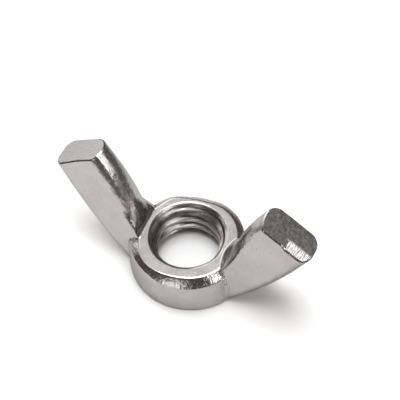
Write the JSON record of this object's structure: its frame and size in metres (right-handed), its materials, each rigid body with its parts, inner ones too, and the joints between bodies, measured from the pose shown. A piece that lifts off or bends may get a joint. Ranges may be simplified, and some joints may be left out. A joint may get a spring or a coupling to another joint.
{
  "type": "wing nut",
  "caption": "Wing nut forged in one piece: a round threaded hub with rounded wings that fan out and up for turning by hand.",
  "frame": {"origin": "centre of the hub's flat bearing face, on the thread axis", "axes": "+Z along the thread axis, from the bearing face up past the wing tips; +X along the wings; +Y through the wings' thickness"},
  "size_m": [0.0362, 0.0156, 0.0183],
  "materials": {
    "stainless_steel": "tumble-polished stainless steel, bright, with fine scuffs"
  },
  "bodies": {
    "root": {"wing_nut": "stainless_steel"}
  },
  "joints": []
}
